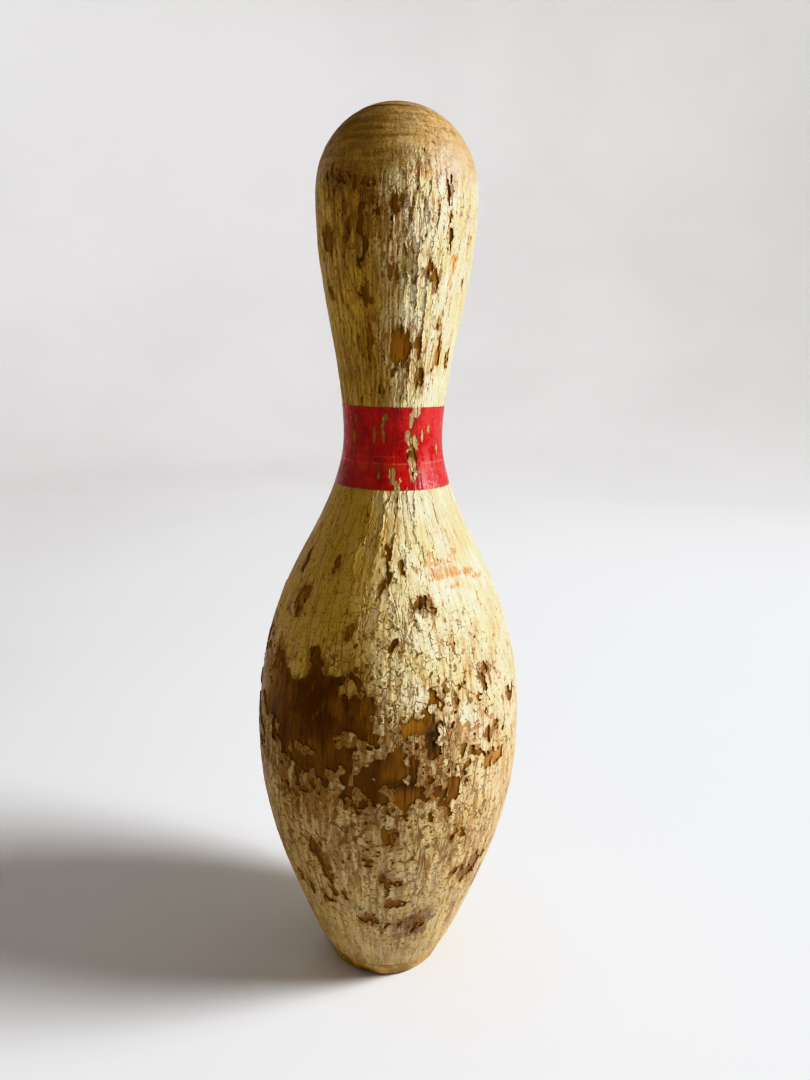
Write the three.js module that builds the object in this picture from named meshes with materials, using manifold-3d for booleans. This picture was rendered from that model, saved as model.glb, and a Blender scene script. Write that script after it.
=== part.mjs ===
// A vintage tenpin bowling pin, 15 inches tall: laminated rock maple, a moulded base ring, a thick
// cream coat and a red band round the neck. Millimetres, +Z up along the pin's axis, with the origin
// where the axis meets the lane. -Y is the front.
//
// The maple is a square core billet of three boards, widened at the belly by cheeks: one board on
// each side of the core, then a front and a back cheek of three edge-glued boards each. The glued
// block is turned on a lathe, so every board carries its own share of the round outside.
import * as THREE from "three";
import { mergeVertices } from "three/addons/utils/BufferGeometryUtils.js";
import Module from "manifold-3d";

const wasm = await Module();
wasm.setup();

// Driving dimensions of the finished pin.
const HEIGHT = 381; // 15 inches
const HEAD_RADIUS = 32.35; // the crown is half a ball of this radius
const BASE_RADIUS = 26.1; // before the foot's edge is rounded
const BASE_EDGE_RADIUS = 4; // the rounding where the side turns into the foot
// Diameters of the turned body at the heights where a tenpin is gauged, [height, diameter].
const GAUGED = [
  [0, 2 * BASE_RADIUS],
  [19.05, 70.7],
  [57.15, 98.4],
  [85.7, 113.3],
  [114.3, 119.4],
  [149.2, 115.2],
  [184.15, 95.6],
  [219.1, 60.8],
  [238.1, 46.5],
  [254, 42.1],
  [276.2, 45.8],
  [298.5, 53.5],
  [320.7, 61.2],
  [339.7, 64.4],
  [HEIGHT - HEAD_RADIUS, 2 * HEAD_RADIUS],
];

// Films, joints and the foot.
const GAP = 0.3; // every glue line and running gap between two pieces
const COAT = 0.5; // thickness of the cream coat
const BAND = 0.3; // thickness of the red band
const BAND_SEAT = 0.2; // how far the coat is rubbed down under the band
const BAND_LOW = 232.8;
const BAND_HIGH = 266;
const RING_HEIGHT = 9.5; // the line round the foot in the coat
const RING_BORE_RADIUS = 19.05;
const FOOT_RECESS = 1.5; // the maple stops this far above the ring's underside
const LATHE_CENTRE_RADIUS = 6.35; // the blind hole that carried the pin on the lathe
const LATHE_CENTRE_DEPTH = 15;

// The glued block before turning.
const CORE_HALF = 35; // half the width of the square core billet
const CORE_BOARD = (2 * CORE_HALF) / 3; // thickness of each core board
const CHEEK_SEAM = 27; // where the cheek's centre board meets its neighbours, from the axis
const CHEEK_LOW = 12;
const CHEEK_HIGH = 222;
const BLOCK = 70; // reaches past the belly on every side

// How finely the round shapes are faceted.
const SEGMENTS = 48;
const BODY_STEPS = 28; // two to each gauged interval
const CROWN_STEPS = 6;
const EDGE_STEPS = 3;

const gaugedPoints = GAUGED.map(([height, diameter]) => new THREE.Vector2(diameter / 2, height));
const side = new THREE.SplineCurve(gaugedPoints);

// Points up the finished outline from a height to the crown, moved in by an inset along the normal.
function outline(inset, from = 0, to = HEIGHT) {
  const points = [];
  const crownCentre = HEIGHT - HEAD_RADIUS;
  for (let i = 0; i <= BODY_STEPS; i++) {
    const point = side.getPoint(i / BODY_STEPS);
    const along = side.getTangent(i / BODY_STEPS);
    points.push(new THREE.Vector2(point.x - inset * along.y, point.y + inset * along.x));
  }
  const radius = HEAD_RADIUS - inset;
  for (let i = 1; i < CROWN_STEPS; i++) {
    const angle = (Math.PI / 2) * (i / CROWN_STEPS);
    points.push(new THREE.Vector2(radius * Math.cos(angle), crownCentre + radius * Math.sin(angle)));
  }
  points.push(new THREE.Vector2(0, crownCentre + radius));
  return between(points, from, to);
}

// The stretch of a rising run of points from one height to another, with a point at each end.
function between(points, from, to) {
  const at = (height) => {
    const i = points.findIndex((point) => point.y >= height);
    const [below, above] = [points[Math.max(i - 1, 0)], points[i]];
    const share = above.y > below.y ? (height - below.y) / (above.y - below.y) : 0;
    return new THREE.Vector2().lerpVectors(below, above, share);
  };
  const clearance = 0.5; // a point nearer the end than this would only make slivers
  const inner = points.filter((point) => point.y > from + clearance && point.y < to - clearance);
  const top = to < points.at(-1).y ? at(to) : points.at(-1);
  return [at(Math.max(from, points[0].y)), ...inner, top];
}

// A solid of revolution about Z from a profile of (radius, height) points.
function turned(profile) {
  return new THREE.LatheGeometry(profile, SEGMENTS).rotateX(Math.PI / 2);
}

function toSolid(geometry) {
  const bare = geometry.clone().deleteAttribute("normal").deleteAttribute("uv");
  const merged = mergeVertices(bare, 1e-3);
  return new wasm.Manifold(
    new wasm.Mesh({
      numProp: 3,
      vertProperties: merged.attributes.position.array,
      triVerts: new Uint32Array(merged.index.array),
    }),
  );
}

function toGeometry(solid) {
  const mesh = solid.getMesh();
  const geometry = new THREE.BufferGeometry();
  geometry.setAttribute("position", new THREE.BufferAttribute(mesh.vertProperties, 3));
  geometry.setIndex(new THREE.BufferAttribute(mesh.triVerts, 1));
  geometry.computeVertexNormals();
  return geometry;
}

function box(low, high) {
  const size = new THREE.Vector3().subVectors(high, low);
  const centre = new THREE.Vector3().addVectors(low, high).multiplyScalar(0.5);
  return toSolid(new THREE.BoxGeometry(size.x, size.y, size.z).translate(centre.x, centre.y, centre.z));
}

const maple = new THREE.MeshStandardMaterial({ color: 0x8a5a26, roughness: 0.45, metalness: 0 });
const cream = new THREE.MeshStandardMaterial({ color: 0xd8c98a, roughness: 0.4, metalness: 0 });
const red = new THREE.MeshStandardMaterial({ color: 0xb01218, roughness: 0.25, metalness: 0 });
const fibre = new THREE.MeshStandardMaterial({ color: 0xb09a5e, roughness: 0.5, metalness: 0 });

// The whole turned maple, before it is shared out among its boards.
function turnedMaple() {
  const tenon = RING_BORE_RADIUS - GAP;
  const shoulder = RING_HEIGHT + GAP;
  const blank = toSolid(
    turned([
      new THREE.Vector2(0, FOOT_RECESS),
      new THREE.Vector2(tenon, FOOT_RECESS),
      new THREE.Vector2(tenon, shoulder),
      ...outline(COAT + GAP, shoulder),
    ]),
  );
  const centreTop = FOOT_RECESS + LATHE_CENTRE_DEPTH;
  const latheCentre = toSolid(
    turned([
      new THREE.Vector2(0, 0),
      new THREE.Vector2(LATHE_CENTRE_RADIUS, 0),
      new THREE.Vector2(LATHE_CENTRE_RADIUS, centreTop - LATHE_CENTRE_RADIUS / 2),
      new THREE.Vector2(0, centreTop),
    ]),
  );
  return blank.subtract(latheCentre);
}

const pin = new THREE.Group();
const mapleSolid = turnedMaple();

function addPiece(name, geometry, material) {
  const mesh = new THREE.Mesh(geometry, material);
  mesh.name = name;
  pin.add(mesh);
}

// One board: the turned maple within its own share of the glued block, less half a glue line all round.
function addBoard(name, [x0, x1], [y0, y1], [z0, z1]) {
  const half = GAP / 2;
  const low = new THREE.Vector3(x0 + half, y0 + half, z0);
  const high = new THREE.Vector3(x1 - half, y1 - half, z1);
  addPiece(name, toGeometry(mapleSolid.intersect(box(low, high))), maple);
}

// Core billet: three boards side by side, running the pin's whole height.
["core_board_left", "core_board_centre", "core_board_right"].forEach((name, i) => {
  const left = -CORE_HALF + i * CORE_BOARD;
  addBoard(name, [left, left + CORE_BOARD], [-CORE_HALF, CORE_HALF], [0, HEIGHT]);
});

// Side cheeks on the core's left and right faces.
const cheekHeight = [CHEEK_LOW, CHEEK_HIGH];
addBoard("side_cheek_left", [-BLOCK, -CORE_HALF], [-CORE_HALF, CORE_HALF], cheekHeight);
addBoard("side_cheek_right", [CORE_HALF, BLOCK], [-CORE_HALF, CORE_HALF], cheekHeight);

// Front and back cheeks, each edge-glued from three boards.
for (const [face, depth] of [
  ["front", [-BLOCK, -CORE_HALF]],
  ["back", [CORE_HALF, BLOCK]],
]) {
  addBoard(`${face}_cheek_left`, [-BLOCK, -CHEEK_SEAM], depth, cheekHeight);
  addBoard(`${face}_cheek_centre`, [-CHEEK_SEAM, CHEEK_SEAM], depth, cheekHeight);
  addBoard(`${face}_cheek_right`, [CHEEK_SEAM, BLOCK], depth, cheekHeight);
}

// Base ring: moulded fibre, let into a rabbet round the foot, with a rounded lower edge.
function baseRing() {
  const inner = new THREE.Vector2(RING_BORE_RADIUS, 0);
  const flank = outline(0, BASE_EDGE_RADIUS, RING_HEIGHT);
  const centre = new THREE.Vector2(flank[0].x - BASE_EDGE_RADIUS, BASE_EDGE_RADIUS);
  const edge = [];
  for (let i = 0; i < EDGE_STEPS; i++) {
    const angle = (Math.PI / 2) * (i / EDGE_STEPS);
    const outward = new THREE.Vector2(Math.sin(angle), -Math.cos(angle));
    edge.push(outward.multiplyScalar(BASE_EDGE_RADIUS).add(centre));
  }
  return turned([inner, ...edge, ...flank, new THREE.Vector2(RING_BORE_RADIUS, RING_HEIGHT), inner]);
}
addPiece("base_ring", baseRing(), fibre);

// Cream coat: one film from the base ring over the crown, rubbed down where the band sits.
function creamCoat() {
  const start = RING_HEIGHT + GAP;
  const outside = [
    ...outline(0, start, BAND_LOW - GAP),
    ...outline(BAND_SEAT, BAND_LOW - GAP, BAND_HIGH + GAP),
    ...outline(0, BAND_HIGH + GAP),
  ];
  const inside = outline(COAT, start).reverse();
  return turned([...outside, ...inside, outside[0]]);
}
addPiece("cream_coat", creamCoat(), cream);

// Red band, lying in the rubbed-down seat round the neck and standing a little proud of it.
function neckBand() {
  const under = BAND_SEAT - GAP;
  const outside = outline(under - BAND, BAND_LOW, BAND_HIGH);
  const inside = outline(under, BAND_LOW, BAND_HIGH).reverse();
  return turned([...outside, ...inside, outside[0]]);
}
addPiece("neck_band", neckBand(), red);

export default pin;
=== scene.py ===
"""A worn tenpin: cracked and flaking cream coat over dark maple, with a chipped red band round the neck.

Lengths in the shape code are millimetres, as in the part, and become metres when a mesh is made.
Azimuths are degrees round the pin: 0 faces the front (-Y), +90 the right (+X).
"""

import math

import bmesh
import bpy
import numpy as np
from mathutils import Matrix, Vector


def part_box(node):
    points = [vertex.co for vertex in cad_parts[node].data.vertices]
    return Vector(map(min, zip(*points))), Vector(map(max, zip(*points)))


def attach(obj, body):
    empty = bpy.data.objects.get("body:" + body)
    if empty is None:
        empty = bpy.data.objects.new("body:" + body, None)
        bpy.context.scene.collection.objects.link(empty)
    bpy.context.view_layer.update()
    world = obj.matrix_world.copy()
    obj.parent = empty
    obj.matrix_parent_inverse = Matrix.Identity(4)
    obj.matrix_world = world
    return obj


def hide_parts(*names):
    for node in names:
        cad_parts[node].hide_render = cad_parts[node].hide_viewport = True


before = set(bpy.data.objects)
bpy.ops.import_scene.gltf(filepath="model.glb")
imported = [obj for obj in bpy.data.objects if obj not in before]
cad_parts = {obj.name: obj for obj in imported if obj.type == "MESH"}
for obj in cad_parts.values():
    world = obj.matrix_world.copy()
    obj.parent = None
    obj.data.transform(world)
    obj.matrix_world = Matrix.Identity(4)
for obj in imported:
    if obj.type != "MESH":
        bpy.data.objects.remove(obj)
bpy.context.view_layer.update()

MM = 0.001
TURN = 2 * math.pi
DRUM = 40  # mm, radius of the cylinder that patterns are laid out on
HEAD_LOW = 300  # mm, a height between the narrowest of the neck and the widest of the head

# The coat's mesh: how many columns go round and how far apart its rows are.
COLUMNS = 720
ROW_STEP = 0.52

# Films, in mm.
FILM = 0.38  # the coat's thickness
BAND_FILM = 0.14
BAND_SEAT = 0.1  # the coat is rubbed down this far under the band
SNUG = 0.03  # between a film and what is under it


# -------- numbers and noise


def hashed(i, j, k, seed):
    """A repeatable 32-bit random number for each lattice point, by two well-known integer hashes."""
    u = np.uint32
    h = i.astype(u) * u(0x8DA6B343) + j.astype(u) * u(0xD8163841) + k.astype(u) * u(0xCB1AB31F)
    h += u(seed * 0x9E3779B9 & 0xFFFFFFFF)
    h ^= h >> u(16)
    h *= u(0x7FEB352D)
    h ^= h >> u(15)
    h *= u(0x846CA68B)
    h ^= h >> u(16)
    return h


def chance(i, j, seed):
    """A repeatable random number from 0 to 1 for each cell."""
    i, j = np.broadcast_arrays(i, j)
    return hashed(i.astype(np.int64), j.astype(np.int64), np.zeros_like(i, np.int64), seed) / 2.0**32


def noise(x, y, z, seed):
    """Smooth gradient noise in space, mostly from -1 to 1."""
    x, y, z = np.broadcast_arrays(x, y, z)
    xi, yi, zi = (np.floor(c).astype(np.int64) for c in (x, y, z))
    xf, yf, zf = ((c - i).astype(np.float32) for c, i in ((x, xi), (y, yi), (z, zi)))
    xs, ys, zs = (f * f * f * (f * (f * 6 - 15) + 10) for f in (xf, yf, zf))
    total = np.zeros(x.shape, np.float32)
    for corner in range(8):
        cx, cy, cz = corner & 1, corner >> 1 & 1, corner >> 2
        h = hashed(xi + cx, yi + cy, zi + cz, seed)
        ten_bits = ((h >> np.uint32(s)) & np.uint32(1023) for s in (0, 10, 20))
        gx, gy, gz = (bits / np.float32(511.5) - 1 for bits in ten_bits)
        weight = np.abs(1 - cx - xs) * np.abs(1 - cy - ys) * np.abs(1 - cz - zs)
        total += weight * (gx * (xf - cx) + gy * (yf - cy) + gz * (zf - cz))
    return total * 1.25


def octaves(x, y, z, seed, count=3):
    """Noise summed over finer and finer scales."""
    total = 0
    for n in range(count):
        total = total + noise(x * 2**n, y * 2**n, z * 2**n, seed + n) / 1.8**n
    return total


def lumpy(points, size, seed, count=3):
    """Noise of one size (mm) at points (mm)."""
    return octaves(*(points[..., i] / size for i in range(3)), seed, count)


def smooth(x, low, high):
    """0 below low, 1 above high, and an even S between them."""
    t = np.clip((x - low) / (high - low), 0, 1)
    return t * t * (3 - 2 * t)


def spline(knots, values, at):
    """A natural cubic spline through values at knots."""
    n = len(knots)
    step = np.diff(knots)
    slope = np.diff(values, axis=0) / step[:, None]
    matrix = np.eye(n)
    right = np.zeros_like(values)
    for i in range(1, n - 1):
        matrix[i, i - 1 : i + 2] = step[i - 1], 2 * (step[i - 1] + step[i]), step[i]
        right[i] = 6 * (slope[i] - slope[i - 1])
    bend = np.linalg.solve(matrix, right)
    i = np.clip(np.searchsorted(knots, at) - 1, 0, n - 2)
    h = step[i][:, None]
    a = ((knots[i + 1] - at)[:, None]) / h
    b = 1 - a
    curve = ((a**3 - a) * bend[i] + (b**3 - b) * bend[i + 1]) * h**2 / 6
    return a * values[i] + b * values[i + 1] + curve


# -------- the outline, from the frame


def about_axis(azimuth, r, z):
    """Points at an azimuth (radians), a radius and a height."""
    return np.stack(np.broadcast_arrays(r * np.sin(azimuth), -r * np.cos(azimuth), z), -1)


def inner_profile(node):
    """Radius and height (mm) up the inside of a turned CAD shell, read on its front meridian."""
    points = set()
    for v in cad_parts[node].data.vertices:
        if abs(v.co.x) < 1e-5 and v.co.y < -1e-5 and v.normal.y > 0.02:
            points.add((round(-v.co.y / MM, 3), round(v.co.z / MM, 3)))
    return np.array(sorted(points, key=lambda point: point[1]))


class Outline:
    """The finished side, by arc length in mm from the foot of the coat to the crown."""

    def __init__(self):
        inside = inner_profile("cream_coat")
        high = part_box("cream_coat")[1]
        thick = high.x / MM - inside[:, 0].max()
        apex = [[0.0, high.z / MM - thick]]
        past_apex = inside[::-1][:4] * (-1, 1)
        points = np.concatenate([inside, apex, past_apex])
        knots = np.concatenate([[0], np.cumsum(np.hypot(*np.diff(points, axis=0).T))])
        curve = spline(knots, points, np.linspace(0, knots[len(inside)], 4000))
        tangent = np.gradient(curve, axis=0)
        tangent /= np.linalg.norm(tangent, axis=1)[:, None]
        self.normal = np.stack([tangent[:, 1], -tangent[:, 0]], 1)
        self.curve = curve + thick * self.normal
        self.s = np.concatenate([[0], np.cumsum(np.hypot(*np.diff(self.curve, axis=0).T))])
        self.length = self.s[-1]

    def radius(self, s):
        """The outline's radius at an arc length."""
        return np.interp(s, self.s, self.curve[:, 0])

    def height(self, s):
        """The outline's height at an arc length."""
        return np.interp(s, self.s, self.curve[:, 1])

    def at_height(self, z):
        """The arc length at a height."""
        return np.interp(z, self.curve[:, 1], self.s)

    def point(self, azimuth, s, out):
        """Points (mm) at an azimuth (radians) and arc length, moved out along the normal."""
        r = self.radius(s) + out * np.interp(s, self.s, self.normal[:, 0])
        z = self.height(s) + out * np.interp(s, self.s, self.normal[:, 1])
        return about_axis(azimuth, r, z)

    def unrolled(self, azimuth, s):
        """A place (mm) for patterns: round a cylinder up to the head's widest part, then over a dome,
        so that streaks run up the pin and close neatly over the crown."""
        head = np.argmax(np.where(self.curve[:, 1] > HEAD_LOW, self.curve[:, 0], 0))
        widest, level = self.curve[head]
        on_dome = s > self.s[head]
        r = np.where(on_dome, self.radius(s) / widest, 1) * DRUM
        rise = (self.height(s) - level) * DRUM / widest
        h = np.where(on_dome, self.s[head] + rise, s)
        return about_axis(azimuth, r, h)


side = Outline()
ring_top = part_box("base_ring")[1].z / MM
band_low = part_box("neck_band")[0].z / MM
band_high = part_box("neck_band")[1].z / MM


# -------- where the pin is worn

# Places on the pin are listed as azimuth, height, half width (degrees), half height (mm) and amount.
# Holes worn or knocked through the coat; where the amount is 1 nothing of the film is left.
BARE = [
    # head
    (-44, 349, 14, 5, 0.66), (-26, 348, 9, 3, 0.6), (-55, 330, 7, 4, 0.9), (-23, 329, 2.2, 17, 0.95),
    (-37, 333, 2.5, 9, 0.8), (-15, 338, 5, 7, 0.5), (-24, 307, 8, 2.2, 0.9), (-61, 310, 7, 2.5, 0.75),
    (1, 338, 3.5, 5, 0.9), (36, 347, 6, 4, 0.6), (41, 331, 1.6, 11, 0.75), (28, 314, 8, 4, 0.62),
    (14, 352, 6, 3, 0.5), (20, 357, 1.6, 1, 1.1), (25, 358.5, 1.8, 0.9, 1.1), (64, 328, 4, 5, 0.6),
    (66, 315, 5, 4, 0.6), (0, 312, 14, 8, 0.2), (-12, 326, 26, 14, 0.14), (30, 335, 20, 12, 0.14),
    # upper neck
    (7, 289, 8, 7.5, 1), (-1, 282, 2.6, 9, 0.95), (23, 290, 5, 4, 0.95), (-23, 291, 3.5, 8, 0.95),
    (43, 288, 4, 12, 0.8), (27, 276, 3, 5, 0.85), (63, 286, 4.5, 5, 0.85), (-37, 270, 2, 3, 0.95),
    (-15, 270, 1.8, 3.5, 0.95), (-40, 303, 7, 2, 0.6),
    # under the red band
    (23, 244, 3.6, 6, 1.2),
    # lower neck and shoulder
    (-20, 225, 1.6, 5, 0.85), (4, 226, 1.4, 6, 0.75), (-2, 209, 4, 2.6, 0.95), (-4, 198, 3, 6, 0.95),
    (7, 203, 1.8, 3.5, 0.9), (16, 203, 1.4, 3, 0.8), (-63, 201, 3.5, 6, 0.9), (-52, 189, 4.5, 7, 0.95),
    (-60, 182, 3, 2, 0.8), (-35, 203, 3.2, 3, 0.75), (17, 191, 6.5, 2, 0.85),
    (-19, 181, 2.8, 5.5, 0.92), (3, 176, 3.5, 2.6, 0.8), (45, 160, 4, 6, 0.6), (20, 182, 30, 12, 0.18),
    # the great bare patch on the left of the belly
    (-30, 146, 22, 18, 1.4), (-50, 148, 20, 14, 1.1), (-32, 165, 4, 6, 1), (-22, 160, 12, 10, 0.8),
    (-12, 144, 9, 9, 0.95), (-45, 128, 26, 9, 0.3), (-25, 124, 18, 9, 0.2), (-9, 128, 9, 12, 0.45),
    (-58, 165, 6, 6, 0.75), (-66, 128, 10, 18, 0.3), (-76, 150, 14, 22, 1), (-50, 108, 24, 9, 0.1),
    # middle and right of the belly
    (10, 145, 6, 4, 0.85), (17, 139, 2.6, 7, 0.9), (6, 131, 6, 8, 0.32), (6, 119, 4, 7, 0.35),
    (26, 114, 5, 8, 0.3), (15, 118, 20, 14, 0.12), (63, 146, 5, 4, 0.72), (46, 137, 7, 5, 0.3),
    (47, 122, 6, 2, 0.7), (36, 128, 10, 10, 0.12), (0, 106, 40, 5, 0.1), (28, 92, 4, 5, 0.4),
    (2, 98, 3, 5, 0.7),
    # lower belly
    (-29, 76, 3.4, 3, 0.97), (-28, 64, 1.6, 9, 0.97), (-31, 55, 4, 2.6, 0.9), (-22, 62, 3, 2.2, 0.8),
    (-34, 84, 3, 2.4, 0.8), (-46, 60, 8, 8, 0.3), (0, 70, 1.8, 4.5, 0.95), (8, 72, 4, 1.4, 0.85),
    (4, 60, 5, 2.2, 0.55), (33, 68, 3.5, 3.5, 0.75), (44, 66, 10, 12, 0.3), (-9, 47, 5.5, 4, 0.75),
    (-1, 41, 5, 2, 0.75), (16, 40, 13, 10, 0.3),
    # behind, where nothing shows how it is worn
    (150, 150, 22, 17, 1.1), (168, 134, 14, 10, 0.8), (160, 116, 20, 8, 0.55), (128, 132, 12, 16, 0.5),
    (-150, 165, 5, 8, 0.75), (-140, 157, 9, 4, 0.6), (-118, 150, 12, 6, 0.6), (-112, 136, 7, 14, 0.66),
    (-95, 124, 12, 9, 0.7), (100, 160, 5, 10, 0.6), (-140, 120, 18, 6, 0.5), (-168, 136, 8, 12, 0.5),
    (90, 110, 12, 10, 0.5), (-100, 195, 6, 7, 0.85), (-165, 200, 7, 6, 0.8), (120, 205, 8, 6, 0.75),
    (165, 70, 9, 8, 0.75), (-120, 75, 8, 9, 0.7), (95, 55, 7, 6, 0.7), (-170, 45, 8, 6, 0.6),
    (-90, 40, 7, 7, 0.6), (110, 330, 12, 7, 0.85), (160, 345, 16, 5, 0.8), (-150, 335, 5, 12, 0.9),
    (-100, 345, 12, 5, 0.75), (-110, 312, 6, 6, 0.8), (150, 300, 6, 10, 0.85), (-170, 288, 8, 7, 0.9),
    (100, 290, 6, 8, 0.8), (-125, 285, 4, 10, 0.85), (-90, 300, 5, 5, 0.7),
]

# Scraps of film that held on inside a bare patch; where the amount is 1 the film is whole.
KEPT = [
    (-43, 162, 5, 4, 0.9), (-22, 165, 3.5, 4, 1), (-17, 159, 3.5, 3.5, 0.8), (-17, 138, 6, 5, 0.8),
    (-10, 133, 4, 5, 0.7), (-35, 131, 7, 2.2, 0.75), (0, 142, 4, 8, 0.8), (160, 142, 5, 4, 0.9),
    (140, 156, 4, 5, 0.8),
]

# Strokes where the cream is rubbed through to the tan under it but has not come away.
RUBBED = [
    (26, 208.5, 5, 1.8, 0.8), (32, 205, 9, 1.4, 0.8), (44, 207, 4, 2.6, 0.7), (33, 201, 11, 2.4, 1),
    (50, 200, 9, 1.3, 0.8), (60, 197, 7, 1.2, 0.7), (38, 196, 7, 1.2, 0.6), (24, 203, 3, 6, 0.7),
    (-41, 306, 12, 1.6, 0.7), (-25, 303, 8, 1.2, 0.6), (-20, 300, 5, 3, 0.6), (20, 350, 14, 3, 0.6),
    (46, 318, 4, 12, 0.55), (170, 205, 12, 2, 0.8), (-150, 196, 9, 2, 0.7),
]


def blobs(azimuth, height, spots):
    """The strongest of the listed places at each point: its amount, fading over its edge."""
    worst = np.zeros(azimuth.shape, np.float32)
    for spot_azimuth, spot_height, half_width, half_height, amount in spots:
        turn = (azimuth - spot_azimuth + 180) % 360 - 180
        away = np.hypot(turn / half_width, (height - spot_height) / half_height)
        np.maximum(worst, amount * (1 - smooth(away, 0.35, 1.6)), out=worst)
    return worst


class Flakes:
    """Cells that the dried film has cracked into: the same number round the pin at any height, and as
    long at each height as lengths says, in pairs of height and length (mm)."""

    def __init__(self, around, lengths, seed):
        self.around = around
        self.seed = seed
        heights, sizes = np.array(lengths, float).T
        size = np.interp(side.curve[:, 1], heights, sizes)
        self.size = size
        self.rows = np.concatenate([[0], np.cumsum(np.diff(side.s) / ((size[1:] + size[:-1]) / 2))])

    def look(self, azimuth, s, wobble_u=0, wobble_v=0):
        """For each point: distance (mm) to the flake's edge, the flake's own random number, its centre
        (azimuth, arc length), and how far the point is from that centre, in flakes across and along."""
        loose = 0.85  # how far a centre may stray within its cell
        u = (azimuth / TURN) * self.around + wobble_u
        v = np.interp(s, side.s, self.rows) + wobble_v
        wide = TURN * side.radius(s) / self.around
        tall = np.interp(s, side.s, self.size)
        near = np.full(u.shape, 9.0)
        next_near = np.full(u.shape, 9.0)
        spot = np.zeros((4, *u.shape))  # the nearest centre and the next, each as u and v
        tag = np.zeros(u.shape)
        for du in (-1, 0, 1):
            for dv in (-1, 0, 1):
                i = np.floor(u) + du
                j = np.floor(v) + dv
                wrapped = i % self.around
                cu = i + 0.5 + loose * (chance(wrapped, j, self.seed) - 0.5)
                cv = j + 0.5 + loose * (chance(wrapped, j, self.seed + 1) - 0.5)
                away = (u - cu) ** 2 + (v - cv) ** 2
                best = away < near
                second = ~best & (away < next_near)
                next_near = np.where(best, near, np.where(second, away, next_near))
                spot[2:] = np.where(best, spot[:2], np.where(second, [cu, cv], spot[2:]))
                near = np.where(best, away, near)
                spot[:2] = np.where(best, [cu, cv], spot[:2])
                tag = np.where(best, chance(wrapped, j, self.seed + 2), tag)
        across = spot[2:] - spot[:2]
        gap = np.maximum(np.hypot(*across), 1e-6)
        edge = (next_near - near) / (2 * gap)
        stretch = np.hypot(across[0] / gap / wide, across[1] / gap / tall)
        centre = (spot[0] / self.around * TURN, np.interp(spot[1], self.rows, side.s))
        return edge / stretch, tag, centre, (u - spot[0], v - spot[1])


def steps_between(first, last, spacing):
    """Evenly spaced numbers from first to last, about spacing apart."""
    return np.linspace(first, last, max(2, round((last - first) / spacing) + 1))


class Surface:
    """A grid over the pin's side: azimuth in radians by arc length in mm, with the fields used on it."""

    def __init__(self, columns, rows):
        self.azimuth = np.linspace(-math.pi, math.pi, columns, endpoint=False)
        self.s = rows
        self.a, self.t = np.meshgrid(self.azimuth, rows)
        self.degrees = np.degrees(self.a)
        self.z = side.height(self.t)
        self.r = side.radius(self.t)
        self.xyz = side.point(self.a, self.t, 0)
        self.drum = side.unrolled(self.a, self.t)

    def grain(self, across, along, seed, count=3):
        """Noise that runs up the pin, of a size across and along, in mm on the patterns' cylinder."""
        x, y, z = np.moveaxis(self.drum, -1, 0)
        return octaves(x / across, y / across, z / along, seed, count)

    def spots(self, size, seed, count=3):
        """Noise of one size in every direction, in mm."""
        return lumpy(self.xyz, size, seed, count)

    def spread(self, places, turn=0, rise=0):
        """A list of places as a field, read askew by turn (degrees) and rise (mm)."""
        return blobs(self.degrees + turn, self.z + rise, places)

    def zone(self, *steps):
        """A value that changes with height, given as pairs of height and value."""
        heights, amounts = np.array(steps, float).T
        return np.interp(self.z, heights, amounts)

    def sample(self, field, centre):
        """The field's value at other places on the grid."""
        azimuth, s = centre
        columns = len(self.azimuth)
        j = np.round((azimuth + math.pi) / TURN * columns).astype(int) % columns
        i = np.round(np.interp(s, self.s, np.arange(len(self.s)))).astype(int)
        return field[i, j]


def blurred(field):
    """Evens a grid field out a little; columns wrap round."""
    field = (np.roll(field, 1, 1) + 2 * field + np.roll(field, -1, 1)) / 4
    padded = np.concatenate([field[:1], field, field[-1:]])
    return (padded[:-2] + 2 * field + padded[2:]) / 4


def distance_inside(mask, surface, reach):
    """How far (mm) each point of the mask is from its edge, up to reach."""
    beyond = 9  # mm: the grid's own ends don't count as edges
    away = np.where(mask, reach, 0.0)
    across = TURN * surface.r / len(surface.azimuth)
    along = np.gradient(surface.s)[:, None]
    for _ in range(int(reach / along.min()) + 3):
        near = np.minimum(np.roll(away, 1, 1), np.roll(away, -1, 1)) + across
        padded = np.concatenate([away[:1] + beyond, away, away[-1:] + beyond])
        near = np.minimum(near, np.minimum(padded[:-2], padded[2:]) + along)
        away = np.minimum(away, np.where(mask, near, 0.0))
    return away


# -------- meshes


def linked(obj):
    """Puts a new object in the scene and returns it."""
    bpy.context.scene.collection.objects.link(obj)
    return obj


def store(mesh, key, values):
    """Keeps a number or a vector for each vertex of a mesh."""
    kind, field = ("FLOAT", "value") if values.ndim == 1 else ("FLOAT_VECTOR", "vector")
    layer = mesh.attributes.new(key, kind, "POINT")
    layer.data.foreach_set(field, values.astype(np.float32).ravel())


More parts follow.
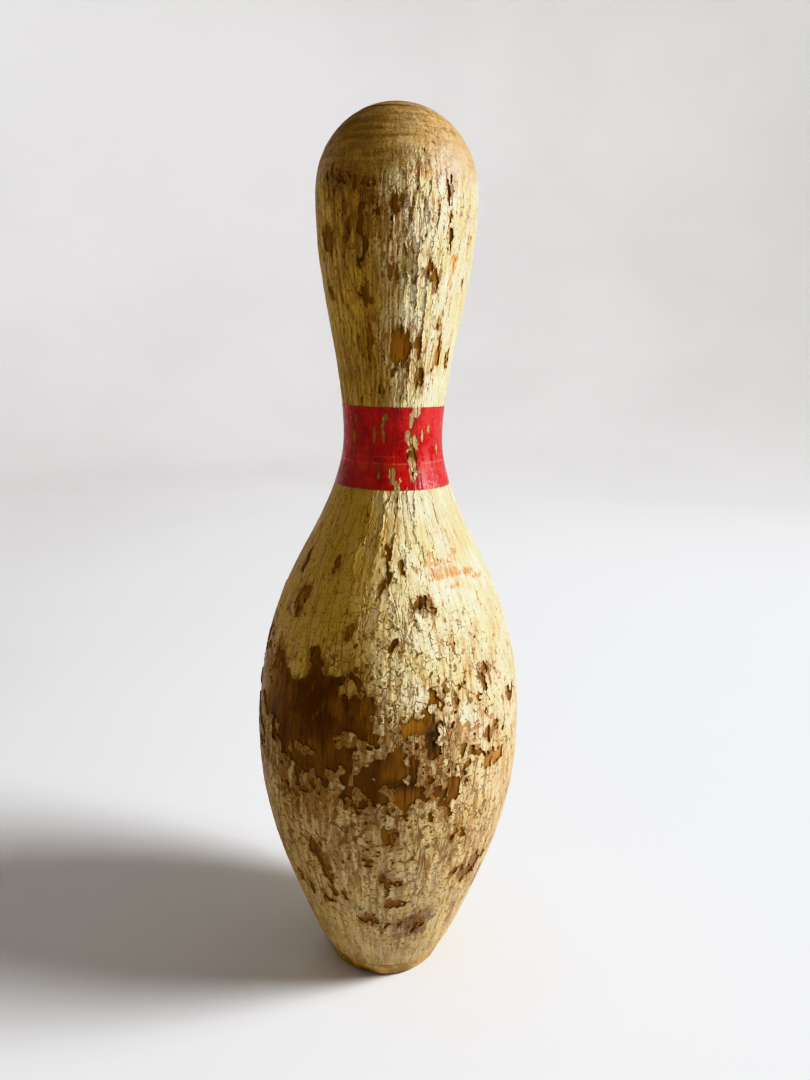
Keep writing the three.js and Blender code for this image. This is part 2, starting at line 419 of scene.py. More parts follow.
def new_object(name, vertices, faces, sharp=None, values=None, uv=None):
    """A mesh object from arrays: vertices in mm, faces as rows of 3 or 4 with -1 for none, sharp edges
    as low end * vertex count + high end, and values and uv by vertex."""
    mesh = bpy.data.meshes.new(name)
    sizes = (faces >= 0).sum(1)
    loops = faces[faces >= 0]
    mesh.vertices.add(len(vertices))
    mesh.vertices.foreach_set("co", (vertices * MM).astype(np.float32).ravel())
    mesh.loops.add(len(loops))
    mesh.loops.foreach_set("vertex_index", loops.astype(np.int32))
    mesh.polygons.add(len(faces))
    starts = np.concatenate([[0], np.cumsum(sizes)[:-1]])
    mesh.polygons.foreach_set("loop_start", starts.astype(np.int32))
    mesh.update(calc_edges=True)
    mesh.validate()
    mesh.polygons.foreach_set("use_smooth", np.ones(len(faces), bool))
    if sharp is not None:
        ends = np.zeros(len(mesh.edges) * 2, np.int64)
        mesh.edges.foreach_get("vertices", ends)
        ends = np.sort(ends.reshape(-1, 2), 1)
        keys = ends[:, 0] * len(vertices) + ends[:, 1]
        layer = mesh.attributes.new("sharp_edge", "BOOLEAN", "EDGE")
        layer.data.foreach_set("value", np.isin(keys, sharp))
    for key, value in (values or {}).items():
        store(mesh, key, value)
    if uv is not None:
        at_loops = uv[loops]
        face_of_loop = np.repeat(np.arange(len(faces)), sizes)
        right_most = np.maximum.reduceat(at_loops[:, 0], starts)
        wraps = (right_most[face_of_loop] - at_loops[:, 0]) > 0.5
        at_loops[wraps, 0] += 1
        layer = mesh.uv_layers.new(name="OFBake")
        layer.data.foreach_set("uv", at_loops.astype(np.float32).ravel())
    return linked(bpy.data.objects.new(name, mesh))


def grid_faces(rows, columns, closed=False):
    """Quads over a grid that wraps across its columns, and down its rows too if closed."""
    index = np.arange(rows * columns).reshape(rows, columns)
    low = index if closed else index[:-1]
    high = np.roll(index, -1, 0) if closed else index[1:]
    return np.stack([low, np.roll(low, -1, 1), np.roll(high, -1, 1), high], -1).reshape(-1, 4)


def triangles(a, b, c):
    """Faces of three from their corners, as rows of four that end in -1."""
    return np.stack([a, b, c, np.full(len(a), -1)], 1)


def snapped(keep, surface):
    """Moves grid points onto the edge of where keep is above 0. Returns the moved grid as azimuth and
    arc length, and which points are in or on the edge."""
    shift = np.zeros((2, *keep.shape))
    closest = np.full(keep.shape, 0.5)
    away = np.gradient(surface.s)[:, None]
    turn = TURN / len(surface.azimuth)
    for di, dj in ((0, 1), (0, -1), (1, 0), (-1, 0)):
        other = np.roll(keep, -dj, 1)
        if di:
            other = np.concatenate([keep[1:], keep[-1:]] if di > 0 else [keep[:1], keep[:-1]])
        crosses = (keep > 0) != (other > 0)
        share = np.where(crosses, keep / np.where(crosses, keep - other, 1), 1)
        nearer = share < closest
        closest = np.where(nearer, share, closest)
        shift = np.where(nearer, np.array([share * dj, share * di]), shift)
    inside = (keep > 0) | (closest < 0.5)
    return surface.a + shift[0] * turn, surface.t + shift[1] * away, inside


def crown(ring, a, t, first_row_step):
    """Closes the top of the film with rings of fewer and fewer points, and one at the pole.
    Takes the grid's last ring of point numbers. Returns the new points' azimuths and arc lengths and
    the faces that use them."""
    fewest = 12  # points in the last ring
    crowded = 0.6  # every other point is left out where they are closer than this, in row steps
    close = 0.3  # mm, no ring is nearer the pole than this
    next_index = len(a)
    new_a, new_t, faces = [], [], []
    azimuths = a[ring]
    reach = t[ring].mean()
    while len(ring) > fewest:
        reach += min(first_row_step, (side.length - reach) / 2)
        n = len(ring)
        spacing = TURN * side.radius(reach) / n
        halve = n % 2 == 0 and spacing < crowded * first_row_step
        if side.length - reach < close:
            break
        upper = azimuths[::2] if halve else azimuths
        new_ring = next_index + np.arange(len(upper))
        next_index += len(upper)
        new_a.append(upper)
        new_t.append(np.full(len(upper), reach))
        right = np.roll(new_ring, -1)
        if halve:
            left_end, middle, right_end = ring[::2], ring[1::2], np.roll(ring[::2], -1)
            faces.append(triangles(left_end, middle, new_ring))
            faces.append(triangles(middle, right_end, right))
            faces.append(triangles(middle, right, new_ring))
        else:
            faces.append(np.stack([ring, np.roll(ring, -1), right, new_ring], 1))
        ring, azimuths = new_ring, upper
    pole = np.full(len(ring), next_index)
    new_a.append(np.zeros(1))
    new_t.append(np.full(1, side.length))
    faces.append(triangles(ring, np.roll(ring, -1), pole))
    return np.concatenate(new_a), np.concatenate(new_t), np.concatenate(faces)


def film(name, surface, keep, out, inner, values, closed_top=False):
    """A closed film over the grid wherever keep is above 0: its outer face stands out mm off the
    outline, its inner face at inner mm, and walls join them round every hole and along both ends."""
    a, t, inside = snapped(keep, surface)
    rows, columns = keep.shape
    last_row = np.arange((rows - 1) * columns, rows * columns)
    # The outer sheet: whole quads, and triangles where one corner has gone.
    quads = grid_faces(rows, columns)
    ok = inside.ravel()[quads]
    count = ok.sum(1)
    middle = keep.ravel()[quads].mean(1)
    whole = quads[(count == 4) & (middle > 0)]
    part = (count == 3) & (np.where(ok, keep.ravel()[quads], 0).sum(1) > 0)
    corner = quads[part]
    gone = np.argmin(ok[part], 1)
    order = (gone[:, None] + np.array([1, 2, 3])) % 4
    corner = np.take_along_axis(corner, order, 1)
    faces = np.concatenate([whole, triangles(*corner.T)])
    a, t = a.ravel(), t.ravel()
    fields = {"out": out, "inner": np.broadcast_to(inner, keep.shape), **values}
    fields = {key: field.ravel() for key, field in fields.items()}
    if closed_top:
        cap_a, cap_t, cap_faces = crown(last_row, a, t, ROW_STEP)
        source = last_row[np.round((cap_a + math.pi) / TURN * columns).astype(int) % columns]
        fade = (side.length - cap_t) / (side.length - surface.s[-1])
        for key, field in fields.items():
            top = field[source]
            fields[key] = np.concatenate([field, top * fade + field[last_row].mean() * (1 - fade)])
        a, t = np.concatenate([a, cap_a]), np.concatenate([t, cap_t])
        faces = np.concatenate([faces, cap_faces])
    # Only the points that a face uses are kept.
    used, flat = np.unique(faces, return_inverse=True)
    if used[0] == -1:
        used = used[1:]
        flat = flat - 1
    faces = flat.reshape(faces.shape)
    a, t = a[used], t[used]
    fields = {key: field[used] for key, field in fields.items()}
    total = len(used)
    outer = side.point(a, t, fields.pop("out"))
    under = side.point(a, t, fields.pop("inner"))
    # The inner sheet is the outer one turned over, and a wall stands on every open edge.
    triangle = faces[:, 3] < 0
    back = faces[:, ::-1].copy()
    back[triangle] = triangles(*faces[triangle][:, 2::-1].T)
    back = np.where(back >= 0, back + total, -1)
    follow = np.roll(faces, -1, 1)
    follow[triangle, 2] = faces[triangle, 0]
    real = faces >= 0
    first, second = faces[real], follow[real]
    forward = first * total + second
    border = ~np.isin(second * total + first, forward)
    first, second = first[border], second[border]
    walls = np.stack([second, first, first + total, second + total], 1)
    vertices = np.concatenate([outer, under])
    all_faces = np.concatenate([faces, back, walls])
    low_end, high_end = np.minimum(first, second), np.maximum(first, second)
    stride = len(vertices)
    sharp = np.concatenate([low_end * stride + high_end, (low_end + total) * stride + high_end + total])
    fields = {key: np.tile(field, 2) for key, field in fields.items()}
    fields["around"] = np.tile(side.unrolled(a, t), (2, 1)) * MM
    # The picture: azimuth across and arc length up, with the inner sheet in a strip of its own.
    u = (a + math.pi) / TURN
    v = t / side.length
    share, gutter = 0.88, 0.01  # of the picture: for the outer face, and between it and the inner face
    under_v = share + gutter + v * (1 - gutter - share)
    uv = np.concatenate([np.stack([u, v * share], 1), np.stack([u, under_v], 1)])
    return new_object(name, vertices, all_faces, sharp=sharp, values=fields, uv=uv)


# -------- the cream coat

CROWN_HOLE = 11  # mm, the radius where the grid stops and the crown's own rings begin
DEGREES_PER_RADIAN = 57.3
CUT_RADIUS, CUT_WIDTH = 17.6, 0.5  # mm, the ring that a lathe cut round the crown

half_way = len(side.curve) // 2
crown_start = float(np.interp(-CROWN_HOLE, -side.curve[half_way:, 0], side.s[half_way:]))
coat = Surface(COLUMNS, steps_between(0, crown_start, ROW_STEP))

# Broad stretches where the film has thinned and shed its smallest flakes.
TIRED = [
    (-25, 325, 55, 26, 0.2), (15, 288, 40, 14, 0.22), (0, 122, 64, 20, 0.44),
    (44, 138, 52, 34, 0.27), (0, 80, 60, 34, 0.26), (150, 320, 60, 40, 0.28),
    (-150, 140, 50, 50, 0.28),
]
# Where the flakes curl up at their edges, and where the film is too smooth to have crackled.
CURLED = [
    (18, 322, 34, 26, 1), (12, 215, 42, 22, 1), (10, 285, 40, 18, 0.6), (10, 180, 40, 16, 0.6),
    (180, 300, 60, 60, 0.7), (180, 215, 60, 22, 0.9),
]
UNCRACKLED = [
    (-52, 185, 38, 26, 1), (-60, 320, 34, 40, 0.6), (60, 215, 40, 40, 0.5), (-130, 100, 40, 60, 0.7),
]
# Dirt rubbed into the coat, and where it is stained brown.
SMUDGES = [
    (60, 50, 34, 36, 0.55), (16, 41, 15, 12, 0.9), (-6, 47, 9, 6, 0.5), (12, 130, 24, 24, 0.45),
    (45, 160, 6, 8, 0.8), (29, 84, 6, 7, 0.7), (17, 190, 8, 4, 0.9), (-40, 350, 22, 7, 0.9),
    (160, 60, 30, 30, 0.5), (-120, 130, 30, 30, 0.4),
]
STAINS = [
    (-22, 325, 50, 26, 0.5), (-10, 284, 60, 22, 0.5), (-15, 125, 70, 30, 0.62), (0, 85, 80, 26, 0.36),
    (70, 100, 50, 60, 0.36), (150, 320, 60, 30, 0.45), (-150, 130, 60, 40, 0.35),
]


def coat_wear():
    """How thoroughly the film has gone at each place, from 0 to 1 and more: in its holes alone, and with
    the scattered loss of small flakes added."""
    across, up = 3.6, 5  # mm that the holes' outlines wander
    turn = coat.spots(7, 101, 4) * across / np.maximum(coat.r, 20) * DEGREES_PER_RADIAN
    rise = coat.grain(2.6, 14, 103) * up
    left = 1 - coat.spread(KEPT, turn * 0.6, rise * 0.6)
    bare = coat.spread(BARE, turn, rise)
    scatter = np.maximum(coat.spots(20, 107), 0) * 0.3
    scatter = scatter + coat.spread(TIRED) * (0.75 + 0.5 * coat.spots(11, 109))
    scatter = scatter * coat.zone(
        (0, 0.6), (30, 1), (180, 1.1), (205, 0.4), (232, 0.15), (268, 0.2), (285, 0.8), (340, 1.1),
        (352, 0.5), (360, 0),
    )
    return bare * left, (bare + scatter) * left


bare, worn = coat_wear()

# 46 big flakes go round the pin and 136 small ones; their lengths are given by height.
big_lengths = [
    (0, 9), (110, 8), (160, 7), (188, 8), (205, 20), (262, 22), (280, 15), (345, 13), (381, 9),
]
small_lengths = [(0, 4), (100, 4.5), (150, 3.4), (190, 3.6), (210, 7), (300, 6), (381, 4)]
edge_big, tag_big, _, lean_big = Flakes(46, big_lengths, 11).look(
    coat.a, coat.t, 0.22 * coat.spots(2.2, 131), 0.3 * coat.spots(3, 137)
)
edge_small, tag_small, centre_small, lean_small = Flakes(136, small_lengths, 23).look(
    coat.a, coat.t, 0.5 * coat.spots(1.2, 139), 0.3 * coat.spots(1.5, 149)
)


def coat_keep():
    """Above 0 where the film is still there: it goes flake by flake, with ragged edges."""
    loss = 0.6 * coat.sample(worn, centre_small) + 0.4 * worn
    chosen = 0.6 * (tag_small - 0.5) + 0.1 * (tag_big - 0.5)
    ragged = 0.2 * coat.grain(0.7, 2.4, 151, 2) + 0.14 * coat.spots(1.8, 153, 2)
    gone = loss + chosen + ragged > 0.62  # scattered flakes that are worn enough
    gone |= bare + ragged > 1.0  # all of a thorough hole
    gone &= worn + ragged > 0.12  # and nothing where there is hardly any wear
    kept = blurred(1 - gone.astype(float)) - 0.5
    kept = kept + 0.1 * coat.grain(0.7, 2, 157, 1)
    kept[-4:] = 0.5  # whole where the crown's rings begin
    kept[:3] = np.maximum(kept[:3], 0.2)  # and along the foot
    return kept


def tipped(tag, lean):
    """The height of a flake that has tipped its own way, 0 at its centre. The two large factors draw
    fresh random numbers out of the flake's own."""
    return ((tag * 97.13) % 1 - 0.5) * lean[0] + ((tag * 57.31) % 1 - 0.5) * lean[1]


keep = coat_keep()
rim = distance_inside(keep > 0, coat, 3.0)

# How much the film curls, crackles into small flakes and splits into big ones.
curling = coat.spread(CURLED)
crackled = coat.zone(
    (0, 0.2), (40, 0.5), (100, 0.7), (150, 0.9), (188, 0.8), (200, 0.06), (262, 0.05), (285, 0.3),
    (345, 0.7), (352, 0.3), (362, 0),
)
crackled = crackled * (1 - 0.85 * coat.spread(UNCRACKLED, 6 * coat.spots(8, 183)))
split = coat.zone((0, 0.3), (60, 0.5), (150, 0.8), (240, 1), (262, 1), (345, 1), (352, 0.3), (360, 0))

# The relief: flakes lifted along one side, dished or tipped, the rims of holes, and cracks.
turned_up = np.where(chance(np.floor(tag_big * 9973), np.floor(tag_big * 7919), 41) < 0.55, 1, -1)
lift = curling * np.exp(-edge_big / 0.75) * (0.2 + 0.8 * tag_big)
lift = lift * smooth(lean_big[0] * turned_up, -0.05, 0.12)
cup = crackled * np.exp(-edge_small / 0.5) * (0.3 + 0.7 * tag_small)
rim_lift = np.exp(-rim / 0.8) * smooth(coat.spots(4, 163), -0.4, 0.6) * (0.35 + 0.65 * curling)
crack_big = np.exp(-((edge_big / 0.26) ** 2)) * split * smooth(coat.spots(9, 167), -1.1, -0.1)
crack_small = np.exp(-((edge_small / 0.24) ** 2)) * crackled * smooth(coat.spots(7, 173), -0.2, 0.5)
lumps = 0.05 * coat.spots(5, 179) + 0.03 * coat.grain(1.6, 7, 181)

# Three shares from 0 to 1: under the band, in the ring cut round the crown, and near the crown's tip.
seat = smooth(coat.z, band_low - 0.4, band_low) * (1 - smooth(coat.z, band_high, band_high + 0.4))
turned_ring = np.exp(-(((coat.r - CUT_RADIUS) / CUT_WIDTH) ** 2)) * (coat.z > 370)
turned_ring = turned_ring * smooth(np.cos(coat.a) + 0.4 * coat.spots(9, 185), 0.0, 0.7)
on_crown = smooth(coat.z, 366, 374)

out = lumps + 1.1 * lift + 0.14 * cup + 0.16 * rim_lift - 0.13 * crack_big - 0.15 * crack_small
out = out + 0.6 * crackled * tipped(tag_small, lean_small) + 0.5 * split * tipped(tag_big, lean_big)
out = out * (1 - on_crown) + 0.04 * coat.spots(5, 179) * on_crown
out = out - BAND_SEAT * seat - 0.25 * turned_ring
out = out * (1 - 0.7 * seat)
inner = -FILM + 0.9 * lift * (1 - seat)
out = np.maximum(out, inner + 0.12)

# Colour: dirt; a darker yellow-brown on the side facing left, which is painted shade on the side away
# from the key lamp along with some uneven yellowing, stronger up the pin; and the tan of the lower belly,
# darker towards the bottom.
grime = coat.zone(
    (0, 0.5), (25, 0.35), (60, 0.3), (100, 0.35), (140, 0.25), (180, 0.12), (205, 0), (262, 0.02),
    (290, 0.15), (330, 0.2), (350, 0.55), (362, 0.8), (381, 0.9),
)
grime = np.maximum(grime, coat.spread(SMUDGES, 4 * coat.spots(6, 191), 4 * coat.spots(6, 193)))
grime = grime + 0.25 * coat.spots(12, 197)
# Painted shade: the side facing left, away from the key lamp, is given a darker yellow-brown, with some
# uneven yellowing in it.
facing_left = smooth(-np.sin(coat.a), -0.5, 0.6)
age = facing_left * coat.zone((0, 0.2), (100, 0.5), (180, 1), (381, 1)) + 0.2 * coat.spots(14, 203)
# A tan that deepens towards the foot: the coat is darker towards the bottom.
tanned = coat.zone((0, 0.75), (60, 0.72), (100, 0.62), (140, 0.3), (175, 0), (381, 0))
tanned = tanned + 0.12 * coat.spots(9, 204)
stained = coat.spread(STAINS, 5 * coat.spots(9, 205), 5 * coat.spots(9, 207))
rubbed = coat.spread(RUBBED, 3 * coat.spots(3, 208), 1.2 * coat.grain(1.5, 4, 209))
rubbed = smooth(rubbed + 0.35 * coat.grain(1.2, 3, 210), 0.42, 0.55)
fine_lines = coat.zone(
    (0, 0.5), (60, 0.6), (150, 0.75), (188, 0.5), (203, 0.4), (232, 0.5), (268, 0.5), (300, 0.55),
    (345, 0.6), (353, 0),
)
coat_values = {
    "grime": grime,
    "crack": np.maximum(crack_big * 0.6, crack_small * 0.6) + turned_ring,
    "lines": fine_lines,
    "rim": np.exp(-rim / 0.7),
    "fine": crackled,
    "flake": 0.5 * tag_small + 0.5 * tag_big,
    "rubbed": rubbed,
    "worn": np.maximum(blurred(blurred(worn)), stained),
    "top": smooth(coat.z + 5 * coat.spots(10, 199), 344, 358),
    "age": age,
    "tanned": tanned,
    "under": seat,
}
coat_object = film("cream_coat_film", coat, keep, out, inner, coat_values, closed_top=True)


# -------- the red band

BAND_CHIPS = [
    (-46, 260, 2.2, 2.8, 1.2), (-49, 253.5, 3, 3.2, 1.3), (-50, 248.5, 2.4, 2.2, 1.1),
    (-21, 255.5, 2.2, 4, 1.25), (-8, 261.5, 4.4, 1.6, 1.25), (-11, 256, 1.7, 7, 1.2),
    (-14, 238.5, 1.4, 3, 0.95), (26, 264.5, 5.5, 2.8, 1.4), (20, 260.5, 2.8, 3.5, 1.3),
    (17, 254, 3.6, 3.2, 1.4), (24, 251, 5.5, 3.4, 1.5), (21, 246, 5.5, 5, 1.6),
    (22, 240.5, 4.8, 4.2, 1.5), (34, 254, 2.6, 3.2, 1.2), (43, 257.5, 2.2, 2.2, 1.1),
    (70, 258, 3, 2.2, 1.1), (59, 248.5, 2.2, 2.4, 1.1), (0, 238.5, 3.8, 3.6, 1.3), (4, 234, 3, 4, 1.2),
    (-62, 240, 3, 1.6, 0.9), (110, 255, 3, 4, 1.2), (150, 241, 3, 5, 1.2), (-160, 257, 2.6, 6, 1.2),
    (-120, 246, 3.4, 3, 1.1), (-90, 260, 2.4, 3, 1.1),
]
# Where the red has worn thin round the band.
BAND_FADED = [(-10, 242, 26, 1.6, 1), (40, 240.5, 16, 1.2, 0.8), (170, 244, 40, 1.6, 0.8)]

BAND_ROW_STEP = 0.28
band = Surface(COLUMNS, steps_between(side.at_height(band_low), side.at_height(band_high), BAND_ROW_STEP))


def scored(height, width, size, seed, low, high):
    """A fine line scored round the band: it wanders a little and is broken here and there."""
    across = (band.z - height - 0.25 * band.spots(18, 229)) / width
    return np.exp(-(across**2)) * smooth(band.spots(size, seed), low, high)


chipped = band.spread(BAND_CHIPS, band.spots(2.5, 211) * 2.2, band.grain(2, 5, 213) * 1.6)
chipped = chipped + 0.1 * band.grain(0.8, 3, 217, 2)
# Chips, and two edges that waver a little.
from_low = band.t - band.t.min() - (0.16 + 0.14 * band.grain(3, 60, 219, 2))
from_high = band.t.max() - band.t - (0.14 + 0.16 * band.grain(5, 60, 221, 2))
band_keep = np.minimum(0.8 - chipped, np.minimum(from_low, from_high))
band_keep = blurred(np.clip(band_keep, -0.6, 0.6))
band_rim = distance_inside(band_keep > 0, band, 2.0)
scuffs = np.maximum(band.grain(0.5, 22, 223, 2) - 0.42, 0)
band_out = 0.012 * band.spots(3, 227) - 0.03 * np.exp(-band_rim / 0.4) - 0.05 * smooth(scuffs, 0, 0.3)
band_values = {
    "rim": np.exp(-band_rim / 0.35),
    "scuff": scuffs * 3,
    "line": scored(243.4, 0.28, 9, 233, -0.5, 0) + scored(246.2, 0.22, 7, 239, -0.2, 0.3),
    "faded": band.spread(BAND_FADED, 0, 0.6 * band.spots(3, 241)),
}
band_top = BAND_FILM - BAND_SEAT + SNUG + band_out
band_object = film("band_film", band, band_keep, band_top, SNUG - BAND_SEAT, band_values)


# -------- the base ring

RING_COLUMNS = 540
# Where the ring is dented.
RING_DENTS = [
    (-20, 1.5, 10, 3.2, 1), (-34, 4, 4, 3, 0.6), (12, 0.5, 8, 1.5, 0.6), (60, 2, 6, 2, 0.6),
    (140, 2, 9, 3, 0.9), (-110, 3, 7, 3, 0.8), (-170, 1, 6, 2, 0.7),
]


def lathe(profile, columns):
    """Grid points (mm) of a profile of (radius, height) turned about the axis, and their azimuths."""
    azimuth = np.linspace(-math.pi, math.pi, columns, endpoint=False)
    points = about_axis(azimuth, profile[:, :1], profile[:, 1:])
    return points, np.broadcast_to(azimuth, points.shape[:2])


def finely(points, spacing):
    """A run of points with more put in between, no further apart than spacing."""
    runs = []
    for a, b in zip(points, points[1:]):
        steps = max(1, math.ceil(math.dist(a, b) / spacing))
        runs.append(np.linspace(a, b, steps + 1)[:-1])
    return np.concatenate([*runs, [points[-1]]])


def ring_profile():
    """The base ring's section, anticlockwise from the foot of its bore."""
    corners = set()
    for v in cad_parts["base_ring"].data.vertices:
        corners.add((round(math.hypot(v.co.x, v.co.y) / MM, 2), round(v.co.z / MM, 2)))
    bore = min(r for r, z in corners)
    foot = max(r for r, z in corners if z < 0.01)  # where the rounding starts
    edge, flank_foot = min((z, r) for r, z in corners if r > foot + 3.5)
    top, flank_head = max((z, r) for r, z in corners)
    turn = np.linspace(0, math.pi / 2, 12)
    rounded = np.stack([foot + (flank_foot - foot) * np.sin(turn), edge * (1 - np.cos(turn))], 1)
    return np.concatenate([[(bore, 0)], rounded, [(flank_head, top)], [(bore, top)]])


section = ring_profile()
ring_line = finely([*section, section[0]], 0.7)[:-1]
ring_points, ring_azimuth = lathe(ring_line, RING_COLUMNS)
ring_r = np.hypot(ring_points[..., 0], ring_points[..., 1])
ring_z = ring_points[..., 2]
outer_side = np.where(ring_r > section[0, 0] + 3, 1.0, 0.0)
ring_noise = lumpy(ring_points, 4, 301)
ring_dents = blobs(np.degrees(ring_azimuth) + 3 * ring_noise, ring_z + 1.2 * ring_noise, RING_DENTS)
ring_in = 0.35 * ring_dents + 0.12 * np.maximum(ring_noise, 0) + 0.05 * lumpy(ring_points, 1.3, 307)
scale = (ring_r - outer_side * ring_in) / ring_r
ring_points = ring_points * np.stack([scale, scale, np.ones_like(scale)], -1)
ring_object = new_object(
    "foot_ring",
    ring_points.reshape(-1, 3),
    grid_faces(*ring_r.shape, closed=True),
    values={"dent": ring_dents.ravel(), "height": ring_z.ravel()},
)


# -------- the maple boards

WOOD_INSET = FILM + SNUG
GLUE = 0.05  # each glue line, in mm
MAPLE_COLUMNS = 288
HOLE_LIMIT = 30  # mm, a height above the lathe's centre hole and below anything else on the axis
SHARP = 0.6  # radians between two faces that meet at a sharp edge

FRONT = ["front_cheek_left", "front_cheek_centre", "front_cheek_right"]
MIDDLE = [
    "side_cheek_left", "core_board_left", "core_board_centre", "core_board_right", "side_cheek_right",
]
BACK = ["back_cheek_left", "back_cheek_centre", "back_cheek_right"]

# Where the bare maple is darkest with old varnish, where it is rubbed golden and where it is sooty.
DARK_WOOD = [
    (-30, 150, 19, 17, 1), (-14, 142, 10, 12, 0.8), (-25, 122, 44, 16, 0.55), (12, 122, 26, 14, 0.4),
    (-50, 135, 16, 12, 0.7), (-25, 166, 14, 8, 0.8), (-23, 330, 6, 24, 0.5), (-44, 349, 14, 6, 0.8),
    (63, 146, 8, 6, 0.3), (150, 150, 26, 20, 0.9), (-118, 150, 14, 12, 0.8),
]
GOLDEN_WOOD = [
    (-72, 150, 12, 22, 1), (-2, 205, 12, 12, 0.9), (-58, 192, 14, 16, 0.8), (-19, 181, 6, 8, 0.9),
    (-10, 146, 7, 6, 0.8), (9, 142, 6, 8, 0.9), (7, 119, 6, 9, 0.7), (30, 203, 14, 12, 0.9),
    (43, 290, 10, 14, 0.8), (7, 289, 10, 9, 0.5), (47, 122, 9, 4, 0.9), (172, 128, 18, 16, 0.9),
]
SOOT = [
    (17, 139, 3.2, 7.5, 1), (-1, 133, 2.5, 5, 0.6), (6, 121, 8, 2.5, 0.7), (17, 191, 6, 3, 0.6),
    (3, 176, 4, 3, 0.5), (26, 130, 3, 3, 0.6), (-30, 55, 3, 2, 0.5),
]


def blank_profile():
    """The turned maple's section from the lathe's centre hole to just below the crown's tip, how many of
    its points come before the side, and the two heights where it meets the axis."""
    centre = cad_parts["core_board_centre"].data.vertices
    spots = [(math.hypot(v.co.x, v.co.y) / MM, v.co.z / MM) for v in centre]
    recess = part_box("core_board_centre")[0].z / MM
    hole = min(r for r, z in spots if z < recess + 0.1)
    hole_corner = max(z for r, z in spots if abs(r - hole) < 0.05 and z < HOLE_LIMIT)
    hole_top = max(z for r, z in spots if r < 0.1 and z < HOLE_LIMIT)
    tenon = max(r for r, z in spots if z < recess + 0.1)
    up = np.arange(0, side.length - 1, 1.3)
    flank = np.stack([side.radius(up), side.height(up)], 1)
    for i in range(2):
        flank[:, i] -= WOOD_INSET * np.interp(up, side.s, side.normal[:, i])
    lower = finely([(hole, hole_corner), (hole, recess), (tenon, recess), (tenon, side.height(0))], 3.0)
    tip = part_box("cream_coat")[1].z / MM - WOOD_INSET
    return np.concatenate([lower, flank]), len(lower), (hole_top, tip)


def maple_blank():
    """The turned maple in one piece, as a closed bmesh in metres."""
    profile, below_side, ends = blank_profile()
    points, azimuth = lathe(profile, MAPLE_COLUMNS)
    grain_in = octaves(np.sin(azimuth) * 60, np.cos(azimuth) * 60, points[..., 2] / 18, 311, 2)
    relief = np.maximum(0.05 * grain_in + 0.05 * lumpy(points, 14, 313, 2) + 0.04, 0)
    relief[:below_side] = 0
    r = np.hypot(points[..., 0], points[..., 1])
    points = points * (1 - relief / r)[..., None] ** np.array([1, 1, 0])
    rows, columns = r.shape
    vertices = points.reshape(-1, 3)
    first = np.arange(columns)
    last = first + (rows - 1) * columns
    tip = np.full(columns, len(vertices))
    fans = [
        np.stack([np.roll(first, -1), first, tip], 1),
        np.stack([last, np.roll(last, -1), tip + 1], 1),
    ]
    poles = [[0, 0, z] for z in ends]
    mesh = bmesh.new()
    corners = [mesh.verts.new(v) for v in np.concatenate([vertices, poles]) * MM]
    for face in [*grid_faces(rows, columns), *fans[0], *fans[1]]:
        mesh.faces.new([corners[i] for i in face])
    return mesh


def slab(source, axis, low, high):
    """The part of a closed mesh between two planes across an axis (mm), with the cuts closed."""
    part = source.copy()
    normal = Vector((axis == "x", axis == "y", 0))
    for at, keeps_above in ((low, True), (high, False)):
        if at is None:
            continue
        cut = bmesh.ops.bisect_plane(
            part,
            geom=part.verts[:] + part.edges[:] + part.faces[:],
            dist=1e-7,
            plane_co=normal * at * MM,
            plane_no=normal,
            clear_inner=keeps_above,
            clear_outer=not keeps_above,
        )
        edges = [piece for piece in cut["geom_cut"] if isinstance(piece, bmesh.types.BMEdge)]
        bmesh.ops.triangle_fill(part, edges=edges, use_beauty=True, use_dissolve=False)
    return part


def seam(lower_node, upper_node, axis):
    """Where two boards meet, in mm: halfway between their CAD nodes."""
    i = "xyz".index(axis)
    return (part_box(lower_node)[1][i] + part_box(upper_node)[0][i]) / 2 / MM


def shares(nodes):
    """The stretch of the x axis that each of a row of boards takes, in mm; None is an open end."""
    seams = [seam(a, b, "x") for a, b in zip(nodes, nodes[1:])]
    lows = [None, *(x + GLUE / 2 for x in seams)]
    highs = [*(x - GLUE / 2 for x in seams), None]
    return zip(nodes, lows, highs)


def board_object(name, mesh, tint):
    """One board: its sharp edges marked, and how dark, golden and sooty it is at each point."""
    bmesh.ops.recalc_face_normals(mesh, faces=mesh.faces[:])
    for face in mesh.faces:
        face.smooth = True
    for edge in mesh.edges:
        if len(edge.link_faces) == 2 and edge.calc_face_angle() > SHARP:
            edge.smooth = False
    data = bpy.data.meshes.new(name)
    mesh.to_mesh(data)
    at = np.zeros(len(data.vertices) * 3)
    data.vertices.foreach_get("co", at)
    at = at.reshape(-1, 3) / MM
    degrees = np.degrees(np.arctan2(at[:, 0], -at[:, 1]))
    wander = lumpy(at, 7, 331)
    store(data, "dark", blobs(degrees + 5 * wander, at[:, 2] + 4 * wander, DARK_WOOD))
    store(data, "golden", blobs(degrees + 5 * wander, at[:, 2] + 5 * wander, GOLDEN_WOOD))
    store(data, "soot", blobs(degrees + 1.5 * wander, at[:, 2] + 1.5 * wander, SOOT))
    store(data, "tint", np.full(len(at), tint))
    return linked(bpy.data.objects.new(name, data))


blank = maple_blank()
front_seam = seam("front_cheek_centre", "core_board_centre", "y")
back_seam = seam("core_board_centre", "back_cheek_centre", "y")
rows_of_boards = [
    (FRONT, None, front_seam - GLUE / 2),
    (MIDDLE, front_seam + GLUE / 2, back_seam - GLUE / 2),
    (BACK, back_seam + GLUE / 2, None),
]
boards = []
for nodes, low_y, high_y in rows_of_boards:
    layer = slab(blank, "y", low_y, high_y)
    for node, low_x, high_x in shares(nodes):
        piece = slab(layer, "x", low_x, high_x)
        tint = chance(np.array([len(boards)]), np.array([7]), 5)[0]
        boards.append((board_object("maple_" + node, piece, tint), node))
        piece.free()
    layer.free()
blank.free()


# -------- materials


